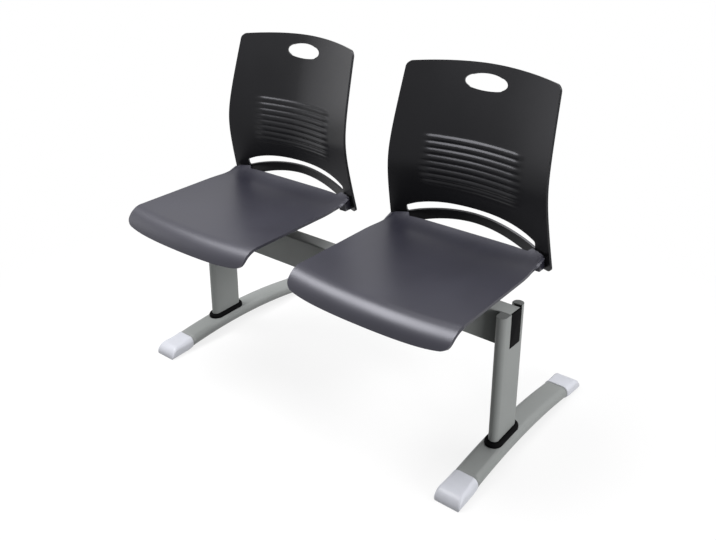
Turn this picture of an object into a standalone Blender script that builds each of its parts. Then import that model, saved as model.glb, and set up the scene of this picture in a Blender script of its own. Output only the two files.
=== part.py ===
"""Waiting room chair: two plastic seats and backs on one steel beam with two legs.

Metres, Z up, X along the beam, the chair faces -Y and stands on Z = 0.
"""
import math

import bmesh
import bpy
from mathutils import Matrix, Vector

# Layout
PITCH = 0.530            # between the seats' middles
LEG_GAP = 0.882          # between the posts' middles
FIT = 0.0003             # gap between touching pieces
OVERCUT = 0.010          # how far a cutter runs past what it cuts

# Beam, a rectangular tube
BEAM_Y = -0.023
BEAM_DEPTH = 0.042
BEAM_HEIGHT = 0.080
BEAM_TOP = 0.351
BEAM_WALL = 0.0025
PLUG_FLANGE = 0.003
PLUG_REACH = 0.018

# Posts, flat-oval tubes
POST_AHEAD = 0.006       # post's middle before the beam's middle
POST_FLAT = 0.066
POST_R = 0.012
POST_WALL = 0.002
POST_FLOOR = 0.006       # plate that closes the lower end
HORN = 0.0095            # how far the post stands above the beam
POST_SINK = 0.002        # how far the post's outline reaches into the foot before it is cut to fit

# Feet, arched flat-oval tubes with plastic shoes
FOOT_Y = 0.033
FOOT_HALF = 0.274
FOOT_R = 0.015
FOOT_FLAT = 0.030
FOOT_WALL = 0.002
FOOT_CROWN = 0.034       # height of the tube's middle at the top of the arch
FOOT_ARCH = 0.36         # drop of the arch per square of the distance
SHOE = 0.070
SHOE_TONGUE = 0.022
SHOE_TIP = 0.027         # height that the top heads for at the nose
SHOE_EDGE = 0.007        # rounding of the shoe's long edges at the nose
SHOE_NOSE = 0.025        # rounding of the nose, seen from the side
SHOE_CORNER = 0.005      # rounding of the nose, seen from above
SHOE_SOLE = 0.30         # share of the shoe after which its sole is flat on the floor
COLLAR_H = 0.010
COLLAR_WALL = 0.0085
COLLAR_TAPER = 0.6       # share of the height above which the collar tapers
COLLAR_RIM = 0.5         # share of the wall left at the upper rim

# Seat shell
SEAT_HALF = 0.202
SEAT_T = 0.006
SEAT_Z = 0.4262          # side edges where the front starts to fall
SEAT_RISE = 0.010        # side edges climb this much to the rear
SEAT_DISH = 0.012
DISH_START = 0.25        # share of the depth over which the dish deepens
DISH_END = 0.35          # share of the depth where it starts to fade
DISH_FADE = 0.40
DISH_LOSS = 0.6
SEAT_REAR_Y = 0.0732
SEAT_REAR_SET = 0.020    # rear corners stand back from the back's legs
SEAT_LIP = 0.0075
LIP_SHARE = 0.12         # share of the depth over which the rear lip turns up
SEAT_ROLL_Y = -0.2507
SEAT_BOW = 0.0083
SEAT_CORNER = 0.016      # rounding of the front's lower corners
FALL_RUN = 0.0493
FALL_DROP = 0.056
FALL_TURN = 76.5
FALL_TURN_CORNER = 68.0
FALL_PINCH = 0.0065      # how far the falling front narrows
SEAT_FLAT_SHARE = 0.62

# Back shell
BACK_T = 0.006
BACK_TOP = 0.811
BACK_ARCH = 0.0115
BACK_CORNER = 0.012
BACK_HALF_TOP = 0.188
BACK_STAND_OUT = 0.0065  # how far the legs stand outside the seat
BACK_HALF_LOW = SEAT_HALF + BACK_STAND_OUT
BACK_LOW_Z = 0.430
BACK_HOLLOW = 0.042
BACK_HOLLOW_POWER = 1.8
LEG_END = 0.4075
LUMBAR_Y = 0.045         # side edges at the lumbar bend
LUMBAR_Z = 0.585
LUMBAR_SOFT = 0.060
LEAN_UP = 0.30
LEAN_DOWN = 0.254
RIBS = 9
RIB_TOP = 0.6588
RIB_PITCH = 0.0165
RIB_DEPTH = 0.0022
RIB_HALF = 0.128
RIB_FADE = 0.7           # share of a rib's half where it starts to sink in
HOLE_DOWN = 0.039        # from the top of the back to the hand hole's middle
HOLE_Z = BACK_TOP - HOLE_DOWN
HOLE_HALF = 0.0534
HOLE_HIGH = 0.0178
HOLE_FULL = 0.95         # power of the hole's oval: 1 is an ellipse, less is fuller
LEG_WIDTH = 0.0405
LEG_CORNER_REACH = 0.040 # height over which a leg's end is rounded off
SLOT_HALF = BACK_HALF_LOW - LEG_WIDTH
SLOT_LOW_SHARE = 0.97    # width of the slot's lower edge against its upper edge
SLOT_TOP = 0.4925
SLOT_TOP_DROP = 0.026
SLOT_LOW = 0.478
SLOT_LOW_DROP = 0.0265
ARCH_STEP = 0.002        # how far the arch stays inside the slot's ends
ARCH_HALF = SLOT_HALF - ARCH_STEP
ARCH_TOP = 0.455
ARCH_DROP = 0.036

# Steel under each seat
SADDLE_HALF = 0.066
SADDLE_WALL = 0.0035
SADDLE_SIDE = 0.008
RAIL_X = 0.052
RAIL_W = 0.020
RAIL_ROOM = 0.0304       # from the rails' top to the seat's side edges
RAIL_WALL = 0.002
RAIL_FRONT = -0.198
RAIL_REAR = 0.032
BOLT_X = 0.026
BOLT_R = 0.004
BOLT_HEAD_R = 0.0072
BOLT_HEAD_H = 0.0053
BOLT_SPARE = 0.009       # thread past the beam
NUT_H = 0.0065
SCREW_R = 0.0025
SCREW_COVER = 0.004      # plastic left over a screw's tip
SEAT_SCREW_HEAD_R = 0.0055
SEAT_SCREW_HEAD_H = 0.0028
BACK_SCREW_HEAD_R = 0.0048
BACK_SCREW_HEAD_H = 0.0026
BACK_SCREW_BITE = 0.016  # length of a back screw in the seat's lobe
SEAT_SCREW_YS = (-0.173, 0.012)
BACK_SCREW_IN = 0.0225   # from the leg's outer edge
BACK_SCREW_X = BACK_HALF_LOW - BACK_SCREW_IN
BACK_SCREW_ZS = (0.4160, 0.4330)
LOBE_FRONT = 0.031
LOBE_LOW = 0.4095
LOBE_DOWN = 0.003        # front of a lobe's top below the seat's skin
EAR_IN = 0.0240          # rear top of a lobe above the seat's side edges, on its inner side
EAR_OUT = 0.0170         # and on its outer side
LOBE_WIDTH = 0.034
LOBE_SET = 0.0085        # from the leg's outer edge
LOBE_OUT = BACK_HALF_LOW - LOBE_SET
LOBE_IN = LOBE_OUT - LOBE_WIDTH
BOSS_R = 0.009

POST_X = LEG_GAP / 2
POST_Y = BEAM_Y - POST_AHEAD
BEAM_BOTTOM = BEAM_TOP - BEAM_HEIGHT
SADDLE_TOP = BEAM_TOP + FIT + SADDLE_WALL
RAIL_LOW = SADDLE_TOP + FIT
RAIL_HIGH = SEAT_Z - RAIL_ROOM
SIDES = (("left", -1), ("right", 1))

for old in list(bpy.data.objects):
    bpy.data.objects.remove(old, do_unlink=True)

PARTS = bpy.data.collections.new("waiting_room_chair")
CUTTERS = bpy.data.collections.new("cutters")
bpy.context.scene.collection.children.link(PARTS)
bpy.context.scene.collection.children.link(CUTTERS)


def finish(name, colour, roughness, metallic):
    mat = bpy.data.materials.new(name)
    mat.use_nodes = True
    shader = mat.node_tree.nodes["Principled BSDF"]
    shader.inputs["Base Color"].default_value = (*colour, 1.0)
    shader.inputs["Roughness"].default_value = roughness
    shader.inputs["Metallic"].default_value = metallic
    return mat


SILVER = finish("silver_powder_coat", (0.262, 0.275, 0.270), 0.45, 0.0)
CHARCOAL = finish("charcoal_plastic", (0.060, 0.058, 0.070), 0.38, 0.0)
BLACK_SHELL = finish("black_shell_plastic", (0.014, 0.014, 0.015), 0.40, 0.0)
PALE = finish("pale_grey_plastic", (0.560, 0.570, 0.620), 0.45, 0.0)
BLACK = finish("black_plastic", (0.010, 0.010, 0.010), 0.50, 0.0)
ZINC = finish("zinc_plated_steel", (0.420, 0.420, 0.410), 0.35, 1.0)


def add(name, bm, mat):
    """A part from a bmesh."""
    bmesh.ops.recalc_face_normals(bm, faces=bm.faces[:])
    mesh = bpy.data.meshes.new(name)
    bm.to_mesh(mesh)
    bm.free()
    mesh.materials.append(mat)
    obj = bpy.data.objects.new(name, mesh)
    PARTS.objects.link(obj)
    return obj


def tool(name, bm):
    """A cutter or an added lump, kept apart from the parts."""
    obj = add(name, bm, BLACK)
    PARTS.objects.unlink(obj)
    CUTTERS.objects.link(obj)
    obj.hide_render = True
    obj.display_type = "WIRE"
    return obj


def combine(target, other, operation):
    mod = target.modifiers.new(other.name, "BOOLEAN")
    mod.operation = operation
    mod.solver = "EXACT"
    mod.object = other


def prism(outline, frame, low, high):
    """A flat outline pushed along the frame's third axis from low to high."""
    bm = bmesh.new()
    face = bm.faces.new([bm.verts.new((a, b, low)) for a, b in outline])
    pushed = bmesh.ops.extrude_face_region(bm, geom=[face])
    verts = [v for v in pushed["geom"] if isinstance(v, bmesh.types.BMVert)]
    bmesh.ops.translate(bm, verts=verts, vec=(0, 0, high - low))
    bmesh.ops.transform(bm, matrix=frame, verts=bm.verts[:])
    return bm


UPRIGHT = Matrix.Identity(4)
ALONG_Y = Matrix(((1, 0, 0, 0), (0, 0, 1, 0), (0, 1, 0, 0), (0, 0, 0, 1)))
ALONG_X = Matrix(((0, 0, 1, 0), (1, 0, 0, 0), (0, 1, 0, 0), (0, 0, 0, 1)))


def box(low, high):
    bm = bmesh.new()
    bmesh.ops.create_cube(bm, size=1.0)
    size = Vector(high) - Vector(low)
    middle = (Vector(high) + Vector(low)) / 2
    bmesh.ops.scale(bm, vec=size, verts=bm.verts[:])
    bmesh.ops.translate(bm, vec=middle, verts=bm.verts[:])
    return bm


def turned(profile, place, axis, segments=10):
    """A round piece from (radius, height) steps, its foot at place and its length along axis."""
    bm = bmesh.new()
    verts = [bm.verts.new((r, 0, h)) for r, h in profile]
    edges = [bm.edges.new(pair) for pair in zip(verts, verts[1:])]
    bmesh.ops.spin(bm, geom=verts + edges, cent=(0, 0, 0), axis=(0, 0, 1), angle=2 * math.pi,
                   steps=segments, use_merge=True)
    bmesh.ops.remove_doubles(bm, verts=bm.verts[:], dist=1e-6)
    turn = Vector((0, 0, 1)).rotation_difference(Vector(axis)).to_matrix().to_4x4()
    bmesh.ops.transform(bm, matrix=Matrix.Translation(place) @ turn, verts=bm.verts[:])
    return bm


def rod(radius, length):
    return [(0, 0), (radius, 0), (radius, length), (0, length)]


def screw_shape(radius, length, head_r, head_h):
    tip = head_h + length
    return [(0, 0), (head_r, 0), (head_r, head_h), (radius, head_h), (radius, tip), (0, tip)]


def flat_oval(flat, radius, upright=0.0, steps=8):
    """Flat oval with its flats along the second axis, or a rounded bar with upright flats too."""
    ring = []
    for i in range(2 * steps + 2):
        angle = math.pi * (i - i // (steps + 1)) / steps
        across, along = math.cos(angle), math.sin(angle)
        side = 0.0 if abs(across) < 1e-6 else math.copysign(upright / 2, across)
        end = flat / 2 if i <= steps else -flat / 2
        ring.append((radius * across + side, end + radius * along))
    return ring


def loft(rings, close):
    """Rings of points joined one after the other."""
    bm = bmesh.new()
    loops = []
    for ring in rings:
        verts = [bm.verts.new(p) for p in ring]
        loops.append([bm.edges.new((verts[i - 1], verts[i])) for i in range(len(verts))])
    for first, second in zip(loops, loops[1:]):
        bmesh.ops.bridge_loops(bm, edges=first + second)
    if close:
        bmesh.ops.holes_fill(bm, edges=loops[0] + loops[-1], sides=0)
    return bm


def solidify(obj, thickness, offset):
    mod = obj.modifiers.new("wall", "SOLIDIFY")
    mod.thickness = thickness
    mod.offset = offset
    mod.use_even_offset = True
    return mod


# Beam and its plugs
beam_reach = POST_X + POST_R - PLUG_FLANGE - FIT
beam_low = Vector((-beam_reach, BEAM_Y - BEAM_DEPTH / 2, BEAM_BOTTOM))
beam_high = Vector((beam_reach, BEAM_Y + BEAM_DEPTH / 2, BEAM_TOP))
beam = add("beam", box(beam_low, beam_high), SILVER)
hollow = Vector((-OVERCUT, BEAM_WALL, BEAM_WALL))
combine(beam, tool("beam_hollow", box(beam_low + hollow, beam_high - hollow)), "DIFFERENCE")
for side, s in SIDES:
    inner = beam_reach + FIT
    flange = box((inner, beam_low.y, beam_low.z), (inner + PLUG_FLANGE, beam_high.y, beam_high.z))
    gap = BEAM_WALL + FIT
    tongue = box((inner - PLUG_REACH, beam_low.y + gap, beam_low.z + gap),
                 (inner + PLUG_FLANGE / 2, beam_high.y - gap, beam_high.z - gap))
    if s < 0:
        for piece in (flange, tongue):
            bmesh.ops.scale(piece, vec=(-1, 1, 1), verts=piece.verts[:])
    plug = add(f"beam_plug_{side}", flange, BLACK)
    combine(plug, tool(f"plug_tongue_{side}", tongue), "UNION")


def foot_z(y):
    return FOOT_CROWN - FOOT_ARCH * (y - FOOT_Y) ** 2


def foot_ring(x, y, radius):
    """Cross ring of the foot at y."""
    return [(x + across, y, foot_z(y) + up) for up, across in flat_oval(FOOT_FLAT, radius)]


def round_in(left, radius):
    """How far a rounded end has drawn in with so much of its length left."""
    over = max(0.0, radius - left)
    return radius - math.sqrt(radius * radius - over * over)


def shoe_ring(x, y, share):
    """Cross ring of a shoe: share runs from 0 at the rim to 1 at the nose."""
    left = SHOE * (1 - share)
    radius = FOOT_R + (SHOE_EDGE - FOOT_R) * share
    low = max(0.0, foot_z(y) - FOOT_R) * max(0.0, 1 - share / SHOE_SOLE)
    high = (foot_z(y) + FOOT_R) * (1 - share) + SHOE_TIP * share - round_in(left, SHOE_NOSE)
    half = FOOT_FLAT / 2 + FOOT_R - round_in(left, SHOE_CORNER)
    radius = min(radius, (high - low) / 2)
    ring = []
    for up, across in flat_oval(2 * (half - radius), radius, high - low - 2 * radius):
        ring.append((x + across, y, (low + high) / 2 + up))
    return ring


# Posts, feet, collars and shoes
post_foot = foot_z(POST_Y - POST_FLAT / 2 - POST_R - COLLAR_WALL) + FOOT_R - POST_SINK
collar_top = foot_z(POST_Y) + FOOT_R + COLLAR_H
bore_foot = FOOT_CROWN + FOOT_R + POST_FLOOR
post_top = BEAM_TOP + HORN
tube_half = FOOT_HALF - SHOE
for side, s in SIDES:
    x = s * POST_X
    place = Matrix.Translation((x, POST_Y, 0))
    post = add(f"post_{side}", prism(flat_oval(POST_FLAT, POST_R), place, post_foot, post_top), SILVER)
    bed = [foot_ring(x, FOOT_Y + tube_half * (i / 6 - 1), FOOT_R + FIT) for i in range(13)]
    bed = tool(f"foot_bed_{side}", loft(bed, True))
    combine(post, bed, "DIFFERENCE")
    bore = prism(flat_oval(POST_FLAT, POST_R - POST_WALL), place, bore_foot, post_top + OVERCUT)
    combine(post, tool(f"post_bore_{side}", bore), "DIFFERENCE")
    across = POST_R + OVERCUT
    notch = box((x - across, beam_low.y - FIT, beam_low.z - FIT),
                (x + across, beam_high.y + FIT, post_top + OVERCUT))
    combine(post, tool(f"post_notch_{side}", notch), "DIFFERENCE")

    rings = [foot_ring(x, FOOT_Y + tube_half * (i / 6 - 1), FOOT_R) for i in range(13)]
    foot = add(f"foot_{side}", loft(rings, False), SILVER)
    solidify(foot, FOOT_WALL, -1.0)

    rings = []
    taper_z = collar_top - COLLAR_H * COLLAR_TAPER
    for wall, z in ((COLLAR_WALL, post_foot), (COLLAR_WALL, taper_z), (COLLAR_WALL * COLLAR_RIM, collar_top)):
        rings.append([(x + a, POST_Y + b, z) for a, b in flat_oval(POST_FLAT, POST_R + wall)])
    collar = add(f"collar_{side}", loft(rings, True), BLACK)
    sleeve = prism(flat_oval(POST_FLAT, POST_R + FIT), place, post_foot - OVERCUT, collar_top + OVERCUT)
    combine(collar, tool(f"collar_sleeve_{side}", sleeve), "DIFFERENCE")
    combine(collar, bed, "DIFFERENCE")

    for end, e in (("front", -1), ("rear", 1)):
        rim = FOOT_Y + e * (tube_half + FIT)
        rings = []
        for i in range(2):
            y = rim - e * SHOE_TONGUE * (1 - i)
            rings.append(foot_ring(x, y, FOOT_R - FOOT_WALL - FIT))
        for i in range(8):
            share = math.sin(math.pi / 2 * i / 7)
            rings.append(shoe_ring(x, rim + e * SHOE * share, share))
        add(f"shoe_{end}_{side}", loft(rings, True), PALE)


def smooth(t):
    t = min(1.0, max(0.0, t))
    return t * t * (3 - 2 * t)


def seat_point(u, v):
    """Upper face of the seat: u across from -1 to 1, v from the rear edge to the front lower edge."""
    past = (v - SEAT_FLAT_SHARE) / (1 - SEAT_FLAT_SHARE)
    fall = math.hypot(FALL_RUN, FALL_DROP)
    out = 1 - (1 - abs(u)) * SEAT_HALF / SEAT_CORNER
    down = 1 - (1 - past) * fall / SEAT_CORNER
    if out > 0 and down > 0:
        u = math.copysign(1 - (1 - out * math.sqrt(1 - down * down / 2)) * SEAT_CORNER / SEAT_HALF, u)
        past = 1 - (1 - down * math.sqrt(1 - out * out / 2)) * SEAT_CORNER / fall
    a = abs(u)
    rear = SEAT_REAR_Y - SEAT_REAR_SET * a ** 6
    roll = SEAT_ROLL_Y - SEAT_BOW * (1 - u * u)
    along = min(1.0, v / SEAT_FLAT_SHARE)
    turn = math.radians(FALL_TURN - (FALL_TURN - FALL_TURN_CORNER) * a ** 6) * max(0.0, past)
    y = rear + (roll - rear) * along - FALL_RUN * math.sin(turn)
    z = SEAT_Z + SEAT_RISE * (1 - along) - FALL_DROP * (1 - math.cos(turn))
    fade = 1 - DISH_LOSS * smooth((v - DISH_END) / DISH_FADE)
    z -= SEAT_DISH * (1 - a ** 2.5) * smooth(along / DISH_START) * fade
    z += SEAT_LIP * max(0.0, 1 - along / LIP_SHARE) ** 2
    x = u * (SEAT_HALF - FALL_PINCH * (1 - math.cos(turn)))
    return x, y, z


def back_half(z):
    share = (z - BACK_LOW_Z) / (BACK_TOP - BACK_LOW_Z)
    return BACK_HALF_LOW + (BACK_HALF_TOP - BACK_HALF_LOW) * share


def back_y(u, z):
    """Middle of the back's wall."""
    up = z - LUMBAR_Z
    lean = (LEAN_UP if up > 0 else LEAN_DOWN) * (math.hypot(up, LUMBAR_SOFT) - LUMBAR_SOFT)
    return LUMBAR_Y + lean + BACK_HOLLOW * (1 - abs(u) ** BACK_HOLLOW_POWER)


def corner_drop(a, z):
    """How far a rounded corner takes the edge in at the outer rim."""
    share = BACK_CORNER / back_half(z)
    past = max(0.0, (a - 1 + share) / share)
    return BACK_CORNER * (1 - math.sqrt(max(0.0, 1 - past * past)))


RIB_LOW = RIB_TOP - RIBS * RIB_PITCH
LOW_ROWS = 7
RIB_ROWS = 2 * RIBS
TOP_ROWS = 7
BACK_ROWS = LOW_ROWS + RIB_ROWS + TOP_ROWS


def back_row(j):
    """Height of a row of the back's grid at its middle."""
    if j <= LOW_ROWS:
        return LEG_END + (RIB_LOW - LEG_END) * j / LOW_ROWS
    if j <= LOW_ROWS + RIB_ROWS:
        return RIB_LOW + (RIB_TOP - RIB_LOW) * (j - LOW_ROWS) / RIB_ROWS
    return RIB_TOP + (BACK_TOP - RIB_TOP) * (j - LOW_ROWS - RIB_ROWS) / TOP_ROWS


def back_point(u, t):
    j = round(t * BACK_ROWS)
    z = back_row(j)
    a = abs(u)
    if z > RIB_TOP:
        z -= (BACK_ARCH * u * u + corner_drop(a, BACK_TOP)) * (z - RIB_TOP) / (BACK_TOP - RIB_TOP)
    elif z < RIB_LOW:
        z += corner_drop(a, LEG_END) * max(0.0, 1 - (z - LEG_END) / LEG_CORNER_REACH)
    y = back_y(u, z)
    x = u * back_half(z)
    if (j - LOW_ROWS) % 2 and LOW_ROWS < j < LOW_ROWS + RIB_ROWS:
        past = (abs(x) / RIB_HALF - RIB_FADE) / (1 - RIB_FADE)
        y -= RIB_DEPTH * (1 - smooth(past))
    return x, y, z


def sheet(across, rows, point):
    """A square grid bent to a shell's face, its columns closer together towards the sides."""
    bm = bmesh.new()
    bmesh.ops.create_grid(bm, x_segments=across, y_segments=rows, size=0.5)
    for v in bm.verts:
        u = 2 * v.co.x
        v.co = point(u * (1.5 - 0.5 * u * u), v.co.y + 0.5)
    return bm


def arc_outline(half, top, top_drop, low, low_drop, power):
    """Outline between two arches, from left to right along the top and back along the bottom."""
    steps = [i / 12 - 1 for i in range(25)]
    upper = [(half * s, top - top_drop * abs(s) ** power) for s in steps]
    lower = [(half * SLOT_LOW_SHARE * s, low - low_drop * s * s) for s in reversed(steps)]
    return upper + lower


def oval(half, high, z, steps=28):
    ring = []
    for i in range(steps):
        angle = 2 * math.pi * i / steps
        c, s = math.cos(angle), math.sin(angle)
        across = half * math.copysign(abs(c) ** HOLE_FULL, c)
        ring.append((across, z + high * math.copysign(abs(s) ** HOLE_FULL, s)))
    return ring


def lobe_block(m):
    """Block at the seat's rear corner that rises to an ear just off the back's leg."""
    bm = bmesh.new()
    bmesh.ops.create_cube(bm, size=1.0)
    bmesh.ops.subdivide_edges(bm, edges=bm.edges[:], cuts=2, use_grid_fill=True)
    for v in bm.verts:
        a, b, c = v.co.x + 0.5, v.co.y + 0.5, v.co.z + 0.5
        x = LOBE_IN + (LOBE_OUT - LOBE_IN) * a
        front_top = SEAT_Z + SEAT_RISE - LOBE_DOWN
        rear_top = SEAT_Z + EAR_IN + (EAR_OUT - EAR_IN) * a
        z = LOBE_LOW + (front_top + (rear_top - front_top) * b * b - LOBE_LOW) * c
        rear = back_y(x / back_half(z), z) - BACK_T / 2 - 4 * FIT
        v.co = (m * x, LOBE_FRONT + (rear - LOBE_FRONT) * b, z)
    return bm


def moved(bm, x):
    bmesh.ops.translate(bm, vec=(x, 0, 0), verts=bm.verts[:])
    return bm


# Seats, backs and the steel under them
for side, s in SIDES:
    x = s * PITCH / 2
    seat = add(f"seat_{side}", moved(sheet(20, 20, seat_point), x), CHARCOAL)
    solidify(seat, SEAT_T, -1.0)
    back = add(f"back_{side}", moved(sheet(20, BACK_ROWS, back_point), x), BLACK_SHELL)
    solidify(back, BACK_T, 0.0)

    place = Matrix.Translation((x, 0, 0)) @ ALONG_Y
    cut_end = back_y(0.0, BACK_TOP) + BACK_T + OVERCUT
    hole = prism(oval(HOLE_HALF, HOLE_HIGH, HOLE_Z), place, 0.0, cut_end)
    combine(back, tool(f"hand_hole_{side}", hole), "DIFFERENCE")
    slot = arc_outline(SLOT_HALF, SLOT_TOP, SLOT_TOP_DROP, SLOT_LOW, SLOT_LOW_DROP, 3)
    combine(back, tool(f"slot_{side}", prism(slot, place, 0.0, cut_end)), "DIFFERENCE")
    arch = [(ARCH_HALF * i / 12, ARCH_TOP - ARCH_DROP * (i / 12) ** 2) for i in range(-12, 13)]
    arch = arch + [(ARCH_HALF, LEG_END - OVERCUT), (-ARCH_HALF, LEG_END - OVERCUT)]
    combine(back, tool(f"arch_{side}", prism(arch, place, 0.0, cut_end)), "DIFFERENCE")

    saddle_in = BEAM_DEPTH / 2 + FIT
    saddle_out = saddle_in + SADDLE_WALL
    low = BEAM_TOP - SADDLE_SIDE
    inside = BEAM_TOP + FIT
    fold = [(-saddle_out, low), (-saddle_in, low), (-saddle_in, inside), (saddle_in, inside),
            (saddle_in, low), (saddle_out, low), (saddle_out, SADDLE_TOP), (-saddle_out, SADDLE_TOP)]
    frame = Matrix.Translation((x, BEAM_Y, 0)) @ ALONG_X
    saddle = add(f"saddle_{side}", prism(fold, frame, -SADDLE_HALF, SADDLE_HALF), ZINC)

    for n, m in (("a", -1), ("b", 1)):
        bolt_x = x + m * BOLT_X
        top = SADDLE_TOP + FIT
        bottom = BEAM_BOTTOM - FIT
        span = top - bottom + NUT_H + 2 * OVERCUT
        hole = turned(rod(BOLT_R + FIT, span), (bolt_x, BEAM_Y, top + OVERCUT), (0, 0, -1))
        hole = tool(f"bolt_hole_{side}_{n}", hole)
        combine(beam, hole, "DIFFERENCE")
        combine(saddle, hole, "DIFFERENCE")
        shape = screw_shape(BOLT_R, top - bottom + BOLT_SPARE, BOLT_HEAD_R, BOLT_HEAD_H)
        bolt = turned(shape, (bolt_x, BEAM_Y, top + BOLT_HEAD_H), (0, 0, -1))
        add(f"saddle_bolt_{side}_{n}", bolt, ZINC)
        nut = turned(rod(BOLT_HEAD_R, NUT_H), (bolt_x, BEAM_Y, bottom), (0, 0, -1), 6)
        combine(add(f"saddle_nut_{side}_{n}", nut, ZINC), hole, "DIFFERENCE")

    for n, m in (("inner", -s), ("outer", s)):
        rail_x = x + m * RAIL_X
        rail = add(f"rail_{n}_{side}", box((rail_x - RAIL_W / 2, RAIL_FRONT, RAIL_LOW),
                                           (rail_x + RAIL_W / 2, RAIL_REAR, RAIL_HIGH)), ZINC)
        room = box((rail_x - RAIL_W / 2 + RAIL_WALL, RAIL_FRONT - OVERCUT, RAIL_LOW + RAIL_WALL),
                   (rail_x + RAIL_W / 2 - RAIL_WALL, RAIL_REAR + OVERCUT, RAIL_HIGH - RAIL_WALL))
        combine(rail, tool(f"rail_room_{n}_{side}", room), "DIFFERENCE")
        for place_name, screw_y in zip(("front", "rear"), SEAT_SCREW_YS):
            boss_low = RAIL_HIGH + FIT
            v = 0.0
            while seat_point(m * RAIL_X / SEAT_HALF, v)[1] > screw_y:
                v += 0.002
            skin = seat_point(m * RAIL_X / SEAT_HALF, v)[2] - SEAT_T / 2
            boss = turned(rod(BOSS_R, skin - boss_low), (rail_x, screw_y, boss_low), (0, 0, 1))
            combine(seat, tool(f"boss_{n}_{place_name}_{side}", boss), "UNION")
            tip = skin - SCREW_COVER
            under = RAIL_LOW - OVERCUT
            hole = turned(rod(SCREW_R + FIT, tip + FIT - under), (rail_x, screw_y, under), (0, 0, 1))
            hole = tool(f"seat_screw_hole_{n}_{place_name}_{side}", hole)
            combine(seat, hole, "DIFFERENCE")
            combine(rail, hole, "DIFFERENCE")
            shape = screw_shape(SCREW_R, tip - RAIL_LOW + FIT, SEAT_SCREW_HEAD_R, SEAT_SCREW_HEAD_H)
            screw = turned(shape, (rail_x, screw_y, RAIL_LOW - FIT - SEAT_SCREW_HEAD_H), (0, 0, 1))
            add(f"seat_screw_{n}_{place_name}_{side}", screw, ZINC)

    for n, m in (("inner", -s), ("outer", s)):
        lobe = tool(f"lobe_{n}_{side}", moved(lobe_block(m), x))
        combine(seat, lobe, "UNION")
        for row, screw_z in zip(("low", "high"), BACK_SCREW_ZS):
            half = back_half(screw_z)
            u = BACK_SCREW_X / half
            step = SCREW_R
            ahead = back_y(u + step / half, screw_z) - back_y(u - step / half, screw_z)
            above = back_y(u, screw_z + step) - back_y(u, screw_z - step)
            out = Vector((-m * ahead, 2 * step, -above)).normalized()
            skin = Vector((x + m * BACK_SCREW_X, back_y(u, screw_z), screw_z)) + out * (BACK_T / 2)
            reach = BACK_T + BACK_SCREW_BITE
            hole = turned(rod(SCREW_R + FIT, reach + OVERCUT), skin - out * (reach + FIT), out)
            hole = tool(f"back_screw_hole_{n}_{row}_{side}", hole)
            combine(back, hole, "DIFFERENCE")
            combine(seat, hole, "DIFFERENCE")
            shape = screw_shape(SCREW_R, reach + 2 * FIT, BACK_SCREW_HEAD_R, BACK_SCREW_HEAD_H)
            screw = turned(shape, skin + out * (BACK_SCREW_HEAD_H + 2 * FIT), -out)
            add(f"back_screw_{n}_{row}_{side}", screw, ZINC)
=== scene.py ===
"""Looks of a two-seat waiting room chair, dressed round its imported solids.

Metres, Z up, X along the beam; the seats face -Y and the shoes stand on Z = 0.
"""
import math

import bmesh
import bpy
from mathutils import Matrix, Vector


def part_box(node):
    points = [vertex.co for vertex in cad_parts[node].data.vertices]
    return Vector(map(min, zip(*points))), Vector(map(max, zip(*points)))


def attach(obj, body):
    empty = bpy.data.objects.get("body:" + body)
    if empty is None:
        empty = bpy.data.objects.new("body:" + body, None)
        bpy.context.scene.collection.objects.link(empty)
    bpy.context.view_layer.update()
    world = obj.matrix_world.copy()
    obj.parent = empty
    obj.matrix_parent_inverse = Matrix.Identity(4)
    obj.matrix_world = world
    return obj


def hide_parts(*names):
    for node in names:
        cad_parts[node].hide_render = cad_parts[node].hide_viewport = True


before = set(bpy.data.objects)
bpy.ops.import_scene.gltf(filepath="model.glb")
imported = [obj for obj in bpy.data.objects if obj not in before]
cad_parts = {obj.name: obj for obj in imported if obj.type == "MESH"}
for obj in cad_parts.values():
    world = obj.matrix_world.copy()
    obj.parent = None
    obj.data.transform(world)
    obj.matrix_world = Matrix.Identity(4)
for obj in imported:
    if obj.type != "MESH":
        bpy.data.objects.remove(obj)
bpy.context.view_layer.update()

# Sizes read from the frame
beam_low, beam_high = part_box("beam")
post_low, post_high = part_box("post_right")
foot_low, foot_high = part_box("foot_right")
POST_X = (post_low.x + post_high.x) / 2
POST_Y = (post_low.y + post_high.y) / 2
FOOT_Y = (foot_low.y + foot_high.y) / 2
SIDES = (("left", -1), ("right", 1))
SEAT_X = {side: sum(corner.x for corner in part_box(f"back_{side}")) / 2 for side, _ in SIDES}

FIT = 0.0003             # gap between touching pieces

# Beam, posts, collars and feet
BEAM_WALL = 0.0025
BEAM_CORNER = 0.0035
POST_R = (post_high.x - post_low.x) / 2
POST_FLAT = post_high.y - post_low.y - 2 * POST_R
POST_WALL = 0.002
HORN_FRONT = 0.0008      # how far the post stands above the beam, before it and behind it
HORN_REAR = 0.005
FOOT_R = 0.015
FOOT_FLAT = 0.030
FOOT_WALL = 0.002
FOOT_CROWN = 0.034
FOOT_ARCH = 0.36
FOOT_STEPS = 40
PLUG_EDGE = 0.0010
POST_EDGE = 0.0005
COLLAR_H = 0.010
COLLAR_WALL = 0.0085
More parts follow.
